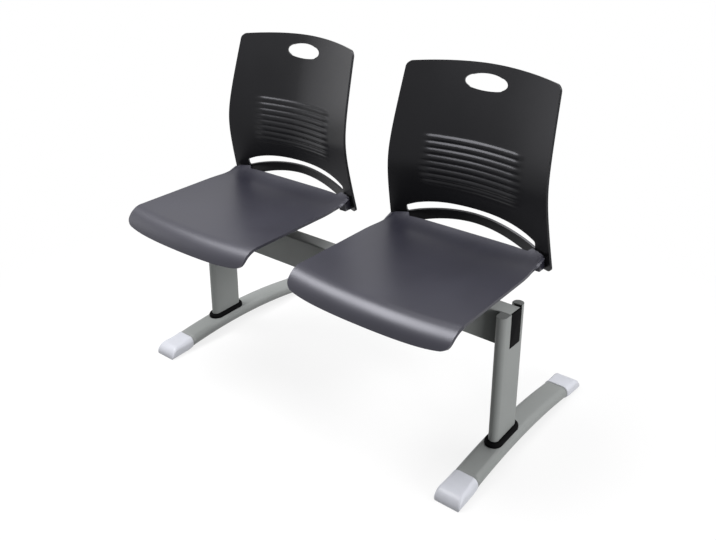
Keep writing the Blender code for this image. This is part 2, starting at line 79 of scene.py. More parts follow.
# The collar's outside, as shares of its wall and of its height
COLLAR_PROFILE = ((1.0, 0.0), (1.0, 0.38), (0.97, 0.55), (0.88, 0.74), (0.74, 0.89), (0.56, 0.97),
                  (0.36, 1.0))
COLLAR_INNER = 0.97      # share of the height where it meets the post
SHOE = 0.070
SHOE_STEPS = 26
SHOE_LAP = 0.0010        # how far the shoe's rim stands proud of the tube
SHOE_IN = 0.0006         # how far the rim's face reaches in past the tube's outline
SHOE_RIM_ROUND = 0.0005
SHOE_SOFT = 0.0012       # width of the rim's soft edge
SHOE_TIP = 0.030         # height that the top heads for at the nose
SHOE_EDGE = 0.007        # rounding of the long edges at the nose
SHOE_NOSE = 0.025        # rounding of the nose, seen from the side
SHOE_CORNER = 0.002      # rounding of the nose, seen from above
SHOE_SOLE = 0.30         # share of the shoe after which its sole is flat on the floor

# Seat shell
SEAT_HALF = 0.202
SEAT_T = 0.006
SEAT_Z = 0.4262
SEAT_RISE = 0.010
SEAT_DISH = 0.007
DISH_END = 0.35
DISH_FADE = 0.40
DISH_LOSS = 0.31
DISH_POWER = 2.5
SEAT_REAR_Y = 0.0732
SEAT_REAR_SET = 0.020    # how far the rear edge comes forward at its ends
SEAT_REAR_POWER = 6
SEAT_LIP = 0.0075
LIP_SHARE = 0.16         # share of the depth over which the rear lip turns up
SEAT_ROLL_Y = -0.2507
SEAT_BOW = 0.0083
SEAT_CORNER = 0.016
FALL_RUN = 0.0493
FALL_DROP = 0.056
FALL_LENGTH = math.hypot(FALL_RUN, FALL_DROP)
FALL_TURN = 76.5
FALL_TURN_CORNER = 68.0
FALL_TURN_POWER = 6
FALL_PINCH = 0.0065
SEAT_FLAT_SHARE = 0.62
SEAT_RIM = 0.0018
SKIN_EASES = 2           # rounds of smoothing on the whole skin
ROLL_BLEND = 0.070       # how far behind the roll its bend is eased
ROLL_EASES = 24
EAR_START = 0.785        # share of the seat's half where an ear begins
EAR_STEP = 0.05
EAR_SHARE = 0.15         # share of the depth over which an ear rises
EAR_IN = 0.0240
EAR_OUT = 0.0190
EAR_PINCH = 0.0070       # how far the seat narrows to its ears
EAR_PINCH_SHARE = 0.30
EAR_GAP = 0.0012
EAR_ROUND = 0.009        # rounding of an ear's outer corner
LOBE_FRONT = 0.054
LOBE_LOW = 0.4115
LOBE_DOWN = 0.006
LOBE_IN = 0.174
LOBE_OUT = 0.193
BOSS_R = 0.009
BOSS_SINK = 0.0055       # from the screw's tip to the boss's top inside the seat
BOSS_EDGE = 0.0008
BOSS_FLARE = ((0.0, 0.006), (0.001, 0.003), (0.004, 0.0))   # outwards, and down from the top
MOUNT_EDGE = 0.0015

# Back shell
BACK_T = 0.006
BACK_TOP = 0.811
BACK_ARCH = 0.0115
BACK_CORNER = 0.012
BACK_HALF_TOP = 0.188
BACK_HALF_LOW = 0.2085
BACK_LOW_Z = 0.430
BACK_HOLLOW = 0.042
BACK_HOLLOW_POWER = 1.8
BACK_RIM = 0.0020
LEG_END = 0.4075
LEG_CORNER = 0.010
LUMBAR_Y = 0.045
LUMBAR_Z = 0.585
LUMBAR_SOFT = 0.060
LEAN_UP = 0.30
LEAN_DOWN = 0.254
RIBS = 9
RIB_TOP = 0.6492
RIB_PITCH = 0.0150
RIB_LOW = RIB_TOP - RIBS * RIB_PITCH
RIB_DEPTH = 0.0032
RIB_DEPTH_LOW = 0.0034
RIB_HALF = 0.134
RIB_FADE = 0.75
RIB_LOW_FADE = 0.28      # share of the ribbed field over which the lowest ribs sink in
HOLE_Z = 0.772
HOLE_HALF = 0.0534
HOLE_HIGH = 0.0178
HOLE_POWER = 0.95        # 1 is an ellipse, less is fuller
HOLE_REACH = 0.65        # how far round the hole rows and columns bend, in halves of the hole
SLOT_HALF = 0.168
SLOT_END = 0.0022        # rounding of the slot's ends
SLOT_END_REACH = 1.2     # how far above and below the slot it fades, in halves of the slot
SLOT_END_RUN = 0.030     # how far beside the slot's ends it fades
SLOT_TOP = 0.4925
SLOT_TOP_DROP = 0.0248
SLOT_LOW = 0.478
SLOT_LOW_DROP = 0.0277
ARCH_TOP = 0.455
ARCH_DROP = 0.036

# Steel and fasteners
SADDLE_WALL = 0.0035
SADDLE_BEND = 0.0045
SADDLE_EDGE = 0.0006
RAIL_WALL = 0.002
RAIL_CORNER = 0.003
BACK_SCREW_X = 0.186
BACK_SCREW_ZS = (("low", 0.4160), ("high", 0.4330))
BACK_SCREW_LENGTH = 0.0226
BACK_SCREW_HEAD_R = 0.0048
BACK_SCREW_HEAD_H = 0.0026
SEAT_SCREW_HEAD_R = 0.0055
SEAT_SCREW_HEAD_H = 0.0028
SCREW_R = 0.0025
SCREW_TIP = 0.3          # share of the screw's radius at its tip
BOLT_R = 0.004
BOLT_HEAD_R = 0.0072     # to the corners, for the nut too
BOLT_HEAD_H = 0.0053
BOLT_TIP = 0.0008
THREAD_LENGTH = 0.0172
THREAD_PITCH = 0.0012
THREAD_DEPTH = 0.0005
NUT_FACE = 0.84          # share of the nut's radius that its round faces take
NUT_CHAMFER = 0.0008

# Camera at the photograph's viewing angle, for a picture of 716 by 540
CAMERA_PLACE = Vector((1.12533, -1.34755, 1.158422))
CAMERA_AZIMUTH = 37.27
CAMERA_ELEVATION = 20.52
CAMERA_ROLL = 0.78
CAMERA_LENS = 40.659
CAMERA_SENSOR = 36.0
CAMERA_SHIFT = (-0.0419, -0.1117)

# Floor and background
AMBIENT = 0.06           # even light on the chair, where white is 1
FLOOR_GLOW = 0.80        # share of plain white in the floor near the chair, the rest keeps the shadow
FLOOR_NEAR = 0.55        # distances between which the floor turns to plain white
FLOOR_FAR = 1.3


class Value:
    """A number in a finish: a sum written on it adds the Math nodes for it."""

    def __init__(self, finish, socket):
        self.finish = finish
        self.socket = socket

    def maths(self, operation, first, second):
        return self.finish.node("ShaderNodeMath", {"operation": operation}, {0: first, 1: second})

    def __add__(self, other):
        return self.maths("ADD", self, other)

    def __radd__(self, other):
        return self.maths("ADD", other, self)

    def __sub__(self, other):
        return self.maths("SUBTRACT", self, other)

    def __rsub__(self, other):
        return self.maths("SUBTRACT", other, self)

    def __mul__(self, other):
        return self.maths("MULTIPLY", self, other)


class Finish:
    """A material, with one method for all its nodes."""

    def __init__(self, name, constants):
        self.material = bpy.data.materials.new(name)
        self.material.use_nodes = True
        self.tree = self.material.node_tree
        self.shader = self.tree.nodes["Principled BSDF"]
        for socket, value in constants.items():
            self.feed(self.shader.inputs[socket], value)

    def feed(self, socket, value):
        if isinstance(value, Value):
            self.tree.links.new(value.socket, socket)
        else:
            socket.default_value = value

    def node(self, kind, settings, sockets, out=0):
        made = self.tree.nodes.new(kind)
        for name, setting in settings.items():
            setattr(made, name, setting)
        for name, value in sockets.items():
            self.feed(made.inputs[name], value)
        return Value(self, made.outputs[out])

    def place(self):
        return self.node("ShaderNodeTexCoord", {}, {}, "Object")

    def noise(self, scale, detail=2.0, stretch=None):
        where = self.place()
        if stretch:
            where = self.node("ShaderNodeMapping", {}, {"Vector": where, "Scale": stretch})
        sockets = {"Vector": where, "Scale": scale, "Detail": detail}
        return self.node("ShaderNodeTexNoise", {}, sockets, "Fac")

    def ease(self, value, low, high):
        """0 below low, 1 above high, smooth between them."""
        return self.node("ShaderNodeMapRange", {"interpolation_type": "SMOOTHSTEP"},
                         {"Value": value, "From Min": low, "From Max": high})

    def blend(self, share, first, second):
        return self.node("ShaderNodeMix", {"data_type": "RGBA"}, {0: share, 6: first, 7: second}, 2)

    def bump(self, height, depth):
        return self.node("ShaderNodeBump", {}, {"Height": height, "Distance": depth, "Strength": 1.0})

    def set(self, **sockets):
        for name, value in sockets.items():
            self.feed(self.shader.inputs[name.replace("_", " ")], value)
        return self.material


def colour(red, green, blue):
    return (red, green, blue, 1.0)


def shade(tint, factor):
    return (tint[0] * factor, tint[1] * factor, tint[2] * factor, 1.0)


PEBBLE_DEPTH = 0.00003
PEEL_DEPTH = 0.00006
SCRATCH_DEPTH = 0.00003


def moulded_plastic(name, tint, roughness, specular, sheen):
    """Moulded plastic with a fine pebble grain, slightly cloudy as large mouldings are."""
    finish = Finish(name, {"Specular IOR Level": specular, "Specular Tint": sheen})
    cloud = finish.noise(9.0, 3.0)
    flow = finish.noise(26.0, 2.0, (1.0, 0.25, 1.0))
    pebble = finish.noise(1150.0, 1.0)
    share = finish.ease(cloud * 0.7 + flow * 0.3, 0.3, 0.7)
    skin = finish.blend(share, shade(tint, 0.92), shade(tint, 1.08))
    dull = roughness + (cloud - 0.5) * 0.08 + (pebble - 0.5) * 0.06
    return finish.set(Base_Color=skin, Roughness=dull, Normal=finish.bump(pebble, PEBBLE_DEPTH))


def powder_coat(name, tint):
    """Satin powder coat: orange peel, tiny specks and a faint drift of tone."""
    finish = Finish(name, {"Specular IOR Level": 0.35})
    drift = finish.noise(7.0, 2.0)
    speck = finish.noise(2600.0, 1.0)
    peel = finish.noise(620.0, 2.0)
    tone = finish.blend(finish.ease(drift, 0.3, 0.7), shade(tint, 0.96), shade(tint, 1.04))
    specked = finish.blend(finish.ease(speck, 0.58, 0.72) * 0.35, tone, shade(tint, 1.35))
    dull = 0.50 + (drift - 0.5) * 0.10 + (peel - 0.5) * 0.12
    return finish.set(Base_Color=specked, Roughness=dull, Normal=finish.bump(peel, PEEL_DEPTH))


def shoe_plastic(name, tint):
    """Pale plastic, scuffed and greyer next to the floor."""
    finish = Finish(name, {"Specular IOR Level": 0.4})
    height = finish.node("ShaderNodeSeparateXYZ", {}, {"Vector": finish.place()}, "Z")
    scratch = finish.noise(240.0, 4.0, (1.0, 0.3, 3.0))
    cloud = finish.noise(30.0, 2.0)
    low = 1 - finish.ease(height, 0.001, 0.009)
    scuff = low * finish.ease(scratch, 0.42, 0.66) * 0.45
    skin = finish.blend(finish.ease(cloud, 0.3, 0.7), shade(tint, 0.97), shade(tint, 1.03))
    worn = finish.blend(scuff, skin, shade(tint, 0.55))
    dull = 0.42 + scuff * 0.25 + (cloud - 0.5) * 0.08
    return finish.set(Base_Color=worn, Roughness=dull, Normal=finish.bump(scratch, SCRATCH_DEPTH))


def zinc_plate(name, tint):
    """Zinc plate with its faint crystal pattern and drawing marks."""
    finish = Finish(name, {"Metallic": 1.0})
    sockets = {"Vector": finish.place(), "Scale": 420.0}
    crystal = finish.node("ShaderNodeTexVoronoi", {}, sockets, "Distance")
    marks = finish.noise(300.0, 3.0, (0.1, 1.0, 1.0))
    skin = finish.blend(finish.ease(crystal, 0.1, 0.8), shade(tint, 0.88), shade(tint, 1.10))
    dull = 0.34 + marks * 0.16
    return finish.set(Base_Color=skin, Roughness=dull, Normal=finish.bump(marks, SCRATCH_DEPTH))


COOL = colour(0.92, 0.92, 1.0)
WHITE = colour(1.0, 1.0, 1.0)
SEAT_PLASTIC = moulded_plastic("charcoal_plastic", colour(0.0132, 0.0129, 0.0200), 0.38, 0.54, COOL)
BACK_PLASTIC = moulded_plastic("black_shell_plastic", colour(0.0026, 0.0026, 0.0028), 0.31, 0.23, COOL)
BLACK_PLASTIC = moulded_plastic("black_plastic", colour(0.0025, 0.0025, 0.0028), 0.75, 0.04, WHITE)
SILVER = powder_coat("silver_powder_coat", colour(0.216, 0.226, 0.222))
PALE_PLASTIC = shoe_plastic("pale_grey_plastic", colour(0.525, 0.536, 0.584))
ZINC = zinc_plate("zinc_plated_steel", colour(0.420, 0.420, 0.410))


def smooth(t):
    t = min(1.0, max(0.0, t))
    return t * t * (3 - 2 * t)


def mix(low, high, share):
    return low + (high - low) * share


def rounded(s, t):
    """A square corner's point, moved so that the corner at (1, 1) becomes a quarter round."""
    if s <= 0 or t <= 0:
        return s, t
    return s * math.sqrt(1 - t * t / 2), t * math.sqrt(1 - s * s / 2)


def round_in(left, radius):
    """How far a rounded end has drawn in with so much of its length left."""
    over = max(0.0, radius - left)
    return radius - math.sqrt(radius * radius - over * over)


def piece(name, bm, finish, slot, *nodes):
    """A finished piece on the chair's one body, in place of the solids it stands for."""
    mesh = bpy.data.meshes.new(name)
    bm.to_mesh(mesh)
    bm.free()
    mesh.materials.append(finish)
    mesh.shade_smooth()
    obj = bpy.data.objects.new(name, mesh)
    bpy.context.scene.collection.objects.link(obj)
    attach(obj, "root")
    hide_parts(*nodes)
    return obj


def wall(obj, thickness, offset):
    mod = obj.modifiers.new("wall", "SOLIDIFY")
    mod.thickness = thickness
    mod.offset = offset
    mod.use_even_offset = True


def soft_edges(obj, width, segments=3, angle=40.0):
    mod = obj.modifiers.new("soft_edges", "BEVEL")
    mod.width = width
    mod.segments = segments
    mod.limit_method = "ANGLE"
    mod.angle_limit = math.radians(angle)
    mod.harden_normals = True


def moved(bm, x):
    bmesh.ops.translate(bm, vec=(x, 0, 0), verts=bm.verts[:])
    return bm


def joined(parts):
    """Several shapes as one."""
    whole = bmesh.new()
    for part in parts:
        mesh = bpy.data.meshes.new("part")
        part.to_mesh(mesh)
        part.free()
        whole.from_mesh(mesh)
        bpy.data.meshes.remove(mesh)
    return whole


def box(low, high):
    bm = bmesh.new()
    bmesh.ops.create_cube(bm, size=1.0)
    bmesh.ops.scale(bm, vec=Vector(high) - Vector(low), verts=bm.verts[:])
    bmesh.ops.translate(bm, vec=(Vector(high) + Vector(low)) / 2, verts=bm.verts[:])
    return bm


def round_edges(bm, edges, width, segments):
    bmesh.ops.bevel(bm, geom=edges, offset=width, segments=segments, profile=0.5, material=-1,
                    affect="EDGES")


OVAL_SEGMENTS = 48


def oval_ring(bm, radius, flat, place, upright=0.0):
    """A flat-oval ring of edges, put in place: flat lies along its own Y, upright along its own X."""
    verts = bmesh.ops.create_circle(bm, cap_ends=False, segments=OVAL_SEGMENTS, radius=radius)["verts"]
    half_step = Matrix.Rotation(math.pi / OVAL_SEGMENTS, 3, "Z")
    bmesh.ops.rotate(bm, verts=verts, cent=(0, 0, 0), matrix=half_step)
    for v in verts:
        v.co.x += math.copysign(upright / 2, v.co.x)
        v.co.y += math.copysign(flat / 2, v.co.y)
    bmesh.ops.transform(bm, matrix=place, verts=verts)
    return list({edge for v in verts for edge in v.link_edges})


def loft(bm, rings, close=True):
    for first, second in zip(rings, rings[1:]):
        bmesh.ops.bridge_loops(bm, edges=first + second)
    if close:
        bmesh.ops.holes_fill(bm, edges=rings[0] + rings[-1], sides=0)
    bmesh.ops.recalc_face_normals(bm, faces=bm.faces[:])
    return bm


def bar(place_low, place_high, radius, flat, upright):
    """A rounded tube's skin between two places."""
    bm = bmesh.new()
    rings = [oval_ring(bm, radius, flat, place, upright) for place in (place_low, place_high)]
    return loft(bm, rings, close=False)


# A ring's own X, Y and Z turned to up, across and along a foot, and to up, across and along the beam
ALONG_FOOT = Matrix(((0, 1, 0, 0), (0, 0, 1, 0), (1, 0, 0, 0), (0, 0, 0, 1)))
ALONG_BEAM = Matrix(((0, 0, 1, 0), (0, 1, 0, 0), (1, 0, 0, 0), (0, 0, 0, 1)))


# The back's curve, which the seat's ears follow too
def back_half(z):
    return mix(BACK_HALF_LOW, BACK_HALF_TOP, (z - BACK_LOW_Z) / (BACK_TOP - BACK_LOW_Z))


def back_y(x, z):
    """Middle of the back's wall, without its ribs."""
    up = z - LUMBAR_Z
    lean = (LEAN_UP if up > 0 else LEAN_DOWN) * (math.hypot(up, LUMBAR_SOFT) - LUMBAR_SOFT)
    u = min(1.0, abs(x) / back_half(z))
    return LUMBAR_Y + lean + BACK_HOLLOW * (1 - u ** BACK_HOLLOW_POWER)


# Seat shells
SEAT_COLUMNS = 120
SEAT_ROWS = 110


def seat_point(u, v):
    """Upper face of the seat: u across from -1 to 1, v from the rear edge to the lower front edge."""
    past = (v - SEAT_FLAT_SHARE) / (1 - SEAT_FLAT_SHARE)
    out = 1 - (1 - abs(u)) * SEAT_HALF / SEAT_CORNER
    down = 1 - (1 - past) * FALL_LENGTH / SEAT_CORNER
    if out > 0 and down > 0:
        out, down = rounded(out, down)
        u = math.copysign(1 - (1 - out) * SEAT_CORNER / SEAT_HALF, u)
        past = 1 - (1 - down) * SEAT_CORNER / FALL_LENGTH
    a = abs(u)
    rear = SEAT_REAR_Y - SEAT_REAR_SET * a ** SEAT_REAR_POWER
    roll = SEAT_ROLL_Y - SEAT_BOW * (1 - u * u)
    along = min(1.0, v / SEAT_FLAT_SHARE)
    turn = math.radians(mix(FALL_TURN, FALL_TURN_CORNER, a ** FALL_TURN_POWER)) * max(0.0, past)
    y = rear + (roll - rear) * along - FALL_RUN * math.sin(turn)
    z = SEAT_Z + SEAT_RISE * (1 - along) - FALL_DROP * (1 - math.cos(turn))
    fade = 1 - DISH_LOSS * smooth((v - DISH_END) / DISH_FADE)
    lip = max(0.0, 1 - along / LIP_SHARE) ** 2
    z += SEAT_LIP * lip - SEAT_DISH * (1 - a ** DISH_POWER) * (1 - lip) * fade
    ear = smooth((a - EAR_START) / EAR_STEP) * max(0.0, 1 - along / EAR_SHARE)
    if ear > 0:
        ear_z = SEAT_Z + mix(EAR_IN, EAR_OUT, (a - EAR_START) / (1 - EAR_START))
        leg = back_y(a * SEAT_HALF, ear_z) - BACK_T / 2 - EAR_GAP
        leg -= round_in((1 - a) * SEAT_HALF, EAR_ROUND)
        y += (leg - rear) * ear
        z += (ear_z - SEAT_Z - SEAT_RISE - SEAT_LIP) * ear * max(0.0, 1 - along / EAR_SHARE) ** 2
    pinch = EAR_PINCH * (1 - smooth(along / EAR_PINCH_SHARE)) + FALL_PINCH * (1 - math.cos(turn))
    return u * (SEAT_HALF - pinch), y, z


def seat_skin():
    """Upper face of a seat, its columns closer together towards the sides."""
    bm = bmesh.new()
    bmesh.ops.create_grid(bm, x_segments=SEAT_COLUMNS, y_segments=SEAT_ROWS, size=0.5)
    for v in bm.verts:
        u = 2 * v.co.x
        v.co = seat_point(u * (1.5 - 0.5 * u * u), v.co.y + 0.5)
    inner = [v for v in bm.verts if not v.is_boundary]
    roll = [v for v in inner if v.co.y < SEAT_ROLL_Y + ROLL_BLEND]
    for verts in [inner] * SKIN_EASES + [roll] * ROLL_EASES:
        bmesh.ops.smooth_vert(bm, verts=verts, factor=0.5, use_axis_x=True, use_axis_y=True,
                              use_axis_z=True)
    bmesh.ops.recalc_face_normals(bm, faces=bm.faces[:])
    return bm


def lobe(m):
    """Block under an ear that the back's screws bite into."""
    bm = bmesh.new()
    bmesh.ops.create_cube(bm, size=1.0)
    bmesh.ops.subdivide_edges(bm, edges=bm.edges[:], cuts=5, use_grid_fill=True)
    for v in bm.verts:
        a, b, c = v.co.x + 0.5, v.co.y + 0.5, v.co.z + 0.5
        x = mix(LOBE_IN, LOBE_OUT, a)
        front_top = SEAT_Z + SEAT_RISE - LOBE_DOWN
        rear_top = SEAT_Z + mix(EAR_IN, EAR_OUT, a) - LOBE_DOWN / 2
        z = mix(LOBE_LOW, mix(front_top, rear_top, b * b), c)
        rear = back_y(x, z) - BACK_T / 2 - 4 * FIT
        v.co = (m * x, mix(LOBE_FRONT, rear, b), z)
    bmesh.ops.recalc_face_normals(bm, faces=bm.faces[:])
    return bm


def boss(x, y, low, high):
    """Round foot of the seat on a rail, flared where it meets the seat."""
    bm = bmesh.new()
    profile = [(0, low), (BOSS_R - BOSS_EDGE, low), (BOSS_R, low + BOSS_EDGE)]
    profile += [(BOSS_R + out, high - down) for out, down in BOSS_FLARE]
    verts = [bm.verts.new((r, 0, z)) for r, z in profile]
    edges = [bm.edges.new(pair) for pair in zip(verts, verts[1:])]
    bmesh.ops.spin(bm, geom=verts + edges, cent=(0, 0, 0), axis=(0, 0, 1), angle=2 * math.pi,
                   steps=32, use_merge=True)
    bmesh.ops.remove_doubles(bm, verts=bm.verts[:], dist=1e-6)
    bmesh.ops.recalc_face_normals(bm, faces=bm.faces[:])
    bmesh.ops.translate(bm, vec=(x, y, 0), verts=bm.verts[:])
    return bm


for side, middle_x in SEAT_X.items():
    skin = moved(seat_skin(), middle_x)
    seat = piece(f"seat_{side}", skin, SEAT_PLASTIC, "charcoal_plastic", f"seat_{side}")
    wall(seat, SEAT_T, -1.0)
    soft_edges(seat, SEAT_RIM)
    blocks = [moved(lobe(m), middle_x) for m in (-1, 1)]
    for n in ("inner", "outer"):
        rail_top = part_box(f"rail_{n}_{side}")[1].z
        for end in ("front", "rear"):
            low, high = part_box(f"seat_screw_{n}_{end}_{side}")
            x, y = (low.x + high.x) / 2, (low.y + high.y) / 2
            blocks.append(boss(x, y, rail_top + FIT, high.z + BOSS_SINK))
    mounts = piece(f"seat_mounts_{side}", joined(blocks), SEAT_PLASTIC, "charcoal_plastic",
                   f"seat_{side}")
    soft_edges(mounts, MOUNT_EDGE)


# Back shells
HOLE_COLUMNS = 14
PANEL_COLUMNS = 28
LEG_COLUMNS = 10
HALF_COLUMNS = HOLE_COLUMNS + PANEL_COLUMNS + LEG_COLUMNS
ARCH_ROWS = 12
BAR_ROWS = 7
SLOT_ROWS = 8
LOW_ROWS = 6
RIB_ROWS = 8 * RIBS
PANEL_ROWS = 22
HOLE_ROWS = 12
TOP_ROWS = 8


def rib_rise(x, z):
    """How far the ribbed field stands forward."""
    height = (z - RIB_LOW) / (RIB_TOP - RIB_LOW)
    if not 0 < height < 1:
        return 0.0
    fade = 1 - smooth((abs(x) / RIB_HALF - RIB_FADE) / (1 - RIB_FADE))
    fade *= smooth(height / RIB_LOW_FADE)
    wave = 0.5 - 0.5 * math.cos(2 * math.pi * height * RIBS)
    return mix(RIB_DEPTH_LOW, RIB_DEPTH, height) * fade * wave


# Lines across the back that its rows follow, from the legs' ends to its top, and the rows below each
BACK_LINES = (
    (0, lambda a: LEG_END),
    (ARCH_ROWS, lambda a: ARCH_TOP - ARCH_DROP * a * a),
    (BAR_ROWS, lambda a: SLOT_LOW - SLOT_LOW_DROP * a * a),
    (SLOT_ROWS, lambda a: SLOT_TOP - SLOT_TOP_DROP * a ** 3),
    (LOW_ROWS, lambda a: RIB_LOW),
    (RIB_ROWS, lambda a: RIB_TOP),
    (PANEL_ROWS, lambda a: HOLE_Z - HOLE_HIGH),
    (HOLE_ROWS, lambda a: HOLE_Z + HOLE_HIGH),
    (TOP_ROWS, lambda a: BACK_TOP),
)
SLOT_LOW_ROW = ARCH_ROWS + BAR_ROWS
SLOT_TOP_ROW = SLOT_LOW_ROW + SLOT_ROWS
HOLE_LOW_ROW = SLOT_TOP_ROW + LOW_ROWS + RIB_ROWS + PANEL_ROWS
HOLE_TOP_ROW = HOLE_LOW_ROW + HOLE_ROWS
BACK_ROWS = sum(count for count, line in BACK_LINES)


def row_z(row, x):
    a = min(1.0, abs(x) / SLOT_HALF)
    below = BACK_LINES[0][1]
    for count, line in BACK_LINES[1:]:
        if row <= count:
            return mix(below(a), line(a), row / count)
        row -= count
        below = line


def column_x(column, z):
    a = abs(column)
    if a <= HOLE_COLUMNS:
        x = HOLE_HALF * a / HOLE_COLUMNS
    elif a <= HOLE_COLUMNS + PANEL_COLUMNS:
        x = mix(HOLE_HALF, SLOT_HALF, (a - HOLE_COLUMNS) / PANEL_COLUMNS)
    else:
        x = mix(SLOT_HALF, back_half(z), (a - HOLE_COLUMNS - PANEL_COLUMNS) / LEG_COLUMNS)
    return math.copysign(x, column)


def round_hole(x, z):
    """Bends the rows and columns round the oval hand hole."""
    s, t = x / HOLE_HALF, (z - HOLE_Z) / HOLE_HIGH
    far = max(abs(s), abs(t))
    weight = 1 - smooth((far - 1) / HOLE_REACH)
    if far < 1e-6 or weight <= 0:
        return x, z
    ring_s, ring_t = s / far, t / far
    p, q = ring_s * math.sqrt(1 - ring_t ** 2 / 2), ring_t * math.sqrt(1 - ring_s ** 2 / 2)
    p = math.copysign(abs(p) ** HOLE_POWER, p)
    q = math.copysign(abs(q) ** HOLE_POWER, q)
    s += (p - ring_s) * weight * min(far, 1.0)
    t += (q - ring_t) * weight * min(far, 1.0)
    return s * HOLE_HALF, HOLE_Z + t * HOLE_HIGH


def round_slot_end(x, row):
    """Draws the columns in above and below the slot's ends, so that these are round."""
    middle = (SLOT_LOW_ROW + SLOT_TOP_ROW) / 2
    far = abs(row - middle) / (SLOT_TOP_ROW - middle)
    if far <= 1:
        pull = SLOT_END * (1 - math.sqrt(1 - far ** 3))
    else:
        pull = SLOT_END * (1 - smooth((far - 1) / SLOT_END_REACH))
    gone = abs(abs(x) - SLOT_HALF) / SLOT_END_RUN
    return x - math.copysign(pull * (1 - smooth(gone)), x)


def back_point(column, row):
    x = column_x(column, row_z(row, SLOT_HALF))
    z = row_z(row, x)
    half = back_half(z)
    above = max(0.0, (z - RIB_TOP) / (BACK_TOP - RIB_TOP))
    z -= BACK_ARCH * (x / half) ** 2 * above
    x, z = round_hole(x, z)
    if SLOT_HALF - abs(x) < SLOT_END_RUN:
        x = round_slot_end(x, row)
    a = abs(x)
    top = BACK_TOP - BACK_ARCH
    s, t = rounded((a - half + BACK_CORNER) / BACK_CORNER, (z - top + BACK_CORNER) / BACK_CORNER)
    a, z = half + (s - 1) * BACK_CORNER, top + (t - 1) * BACK_CORNER
    if a >= SLOT_HALF:
        down = (LEG_END + LEG_CORNER - z) / LEG_CORNER
        s, t = rounded((a - half + LEG_CORNER) / LEG_CORNER, down)
        a, z = half + (s - 1) * LEG_CORNER, LEG_END + (1 - t) * LEG_CORNER
        down = (LEG_END + LEG_CORNER - z) / LEG_CORNER
        s, t = rounded((SLOT_HALF + LEG_CORNER - a) / LEG_CORNER, down)
        a, z = SLOT_HALF + (1 - s) * LEG_CORNER, LEG_END + (1 - t) * LEG_CORNER
    return math.copysign(a, x), back_y(a, z) - rib_rise(a, z), z


def is_open(column, row):
    """Whether a cell of the back's grid lies in the hand hole, the slot or the arch."""
    a = abs(column)
    in_hole = a < HOLE_COLUMNS and HOLE_LOW_ROW < row < HOLE_TOP_ROW
    in_slot = SLOT_LOW_ROW < row < SLOT_TOP_ROW
    return in_hole or (a < HOLE_COLUMNS + PANEL_COLUMNS and (in_slot or row < ARCH_ROWS))


def back_skin():
    bm = bmesh.new()
    bmesh.ops.create_grid(bm, x_segments=2 * HALF_COLUMNS, y_segments=BACK_ROWS, size=0.5)
    cells = Matrix.Diagonal((2 * HALF_COLUMNS, BACK_ROWS, 1, 1))
    bmesh.ops.transform(bm, matrix=cells, verts=bm.verts[:])
    bmesh.ops.translate(bm, vec=(0, BACK_ROWS / 2, 0), verts=bm.verts[:])
    middles = [(face, face.calc_center_median()) for face in bm.faces]
    gone = [face for face, middle in middles if is_open(middle.x, middle.y)]
    bmesh.ops.delete(bm, geom=gone, context="FACES")
    for v in bm.verts:
        v.co = back_point(round(v.co.x), round(v.co.y))
    bmesh.ops.recalc_face_normals(bm, faces=bm.faces[:])
    return bm


for side, middle_x in SEAT_X.items():
    skin = moved(back_skin(), middle_x)
    back = piece(f"back_{side}", skin, BACK_PLASTIC, "black_shell_plastic", f"back_{side}")
    wall(back, BACK_T, 0.0)
    soft_edges(back, BACK_RIM)


# Beam, posts, collars, feet and shoes
def foot_z(y):
    return FOOT_CROWN - FOOT_ARCH * (y - FOOT_Y) ** 2


def foot_top(x, y):
    """Upper face of a foot, x measured from its middle."""
    over = max(0.0, abs(x) - FOOT_FLAT / 2)
    return foot_z(y) + math.sqrt(max(0.0, FOOT_R ** 2 - over ** 2))


def beam_tube():
    middle = (beam_low + beam_high) / 2
    size = beam_high - beam_low
    ends = [Matrix.Translation((x, middle.y, middle.z)) @ ALONG_BEAM for x in (beam_low.x, beam_high.x)]
    return bar(*ends, BEAM_CORNER, size.y - 2 * BEAM_CORNER, size.z - 2 * BEAM_CORNER)


def beam_plug(side):
    low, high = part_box(f"beam_plug_{side}")
    outer = high.x if side == "right" else low.x
    inner = beam_high.x if side == "right" else beam_low.x
    bm = box((min(outer, inner), low.y, low.z), (max(outer, inner), high.y, high.z))
    long_edges = [e for e in bm.edges if abs(e.verts[0].co.x - e.verts[1].co.x) > 0.001]
    round_edges(bm, long_edges, BEAM_CORNER, 4)
    rim = [e for e in bm.edges if all(abs(v.co.x - outer) < 1e-6 for v in e.verts)]
    round_edges(bm, rim, PLUG_EDGE, 3)
    return bm


